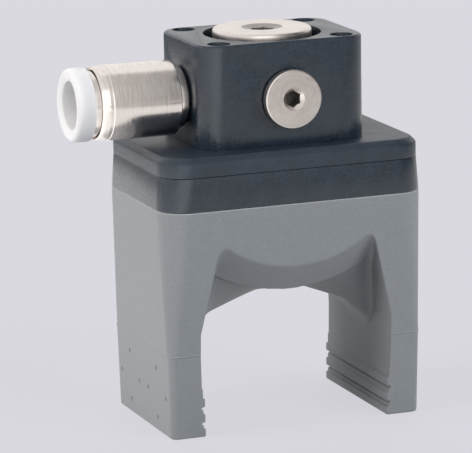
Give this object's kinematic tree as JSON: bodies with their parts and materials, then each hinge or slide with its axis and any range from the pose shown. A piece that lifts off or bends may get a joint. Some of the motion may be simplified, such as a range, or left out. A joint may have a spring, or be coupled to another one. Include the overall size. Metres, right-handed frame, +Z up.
{
  "type": "soft robotic gripper",
  "caption": "Pneumatic soft gripper: a moulded two-finger elastomer body clamped under a port block with a push-in tube fitting and two sealing plugs.",
  "frame": {"origin": "centre of the four mounting holes, on the port block's top face", "axes": "+Z up out of the mounting face, +X away from the tube fitting, -Y towards the front plug; the fingers point along -Z"},
  "size_m": [0.0479, 0.0254, 0.0546],
  "materials": {
    "printed_black": "matte blue-black sintered polymer with a fine grain",
    "grey_elastomer": "matte mid grey moulded elastomer with a fine texture",
    "nickel": "nickel plated brass, fine turning lines",
    "white_polymer": "off-white acetal, slightly translucent",
    "seal_rubber": "black rubber",
    "screw_steel": "plain stainless steel"
  },
  "bodies": {
    "base": {"port_block": "printed_black", "cover_plate": "printed_black", "clamp_ring": "printed_black", "palm": "grey_elastomer", "fitting_body": "nickel", "tube_claws": "screw_steel", "guide_sleeve": "nickel", "front_plug": "nickel", "top_plug": "nickel", "fitting_washer": "seal_rubber", "tube_seal": "seal_rubber", "block_seal": "seal_rubber", "front_plug_seal": "seal_rubber", "top_plug_seal": "seal_rubber", "cover_screw_1": "screw_steel", "cover_screw_2": "screw_steel", "cover_screw_3": "screw_steel", "cover_screw_4": "screw_steel"},
    "left_finger": {"left_finger": "grey_elastomer"},
    "right_finger": {"right_finger": "grey_elastomer"},
    "release_ring": {"release_ring": "white_polymer"}
  },
  "joints": [
    {"name": "left_finger_bend", "type": "hinge", "parent": "base", "child": "left_finger", "pos_m": [-0.0175, 0, -0.0245], "axis": [0, -1, 0], "range_deg": [-4, 26], "stiffness_Nm_per_rad": 0.3, "deforming": ["palm"]},
    {"name": "right_finger_bend", "type": "hinge", "parent": "base", "child": "right_finger", "pos_m": [0.0175, 0, -0.0245], "axis": [0, 1, 0], "range_deg": [-4, 26], "stiffness_Nm_per_rad": 0.3, "deforming": ["palm"]},
    {"name": "release_ring_press", "type": "slide", "parent": "base", "child": "release_ring", "axis": [1, 0, 0], "range_m": [0, 0.0008], "stiffness_N_per_m": 800}
  ],
  "couplings": [
    {"joint": "right_finger_bend", "follows": "left_finger_bend", "ratio": 1}
  ]
}
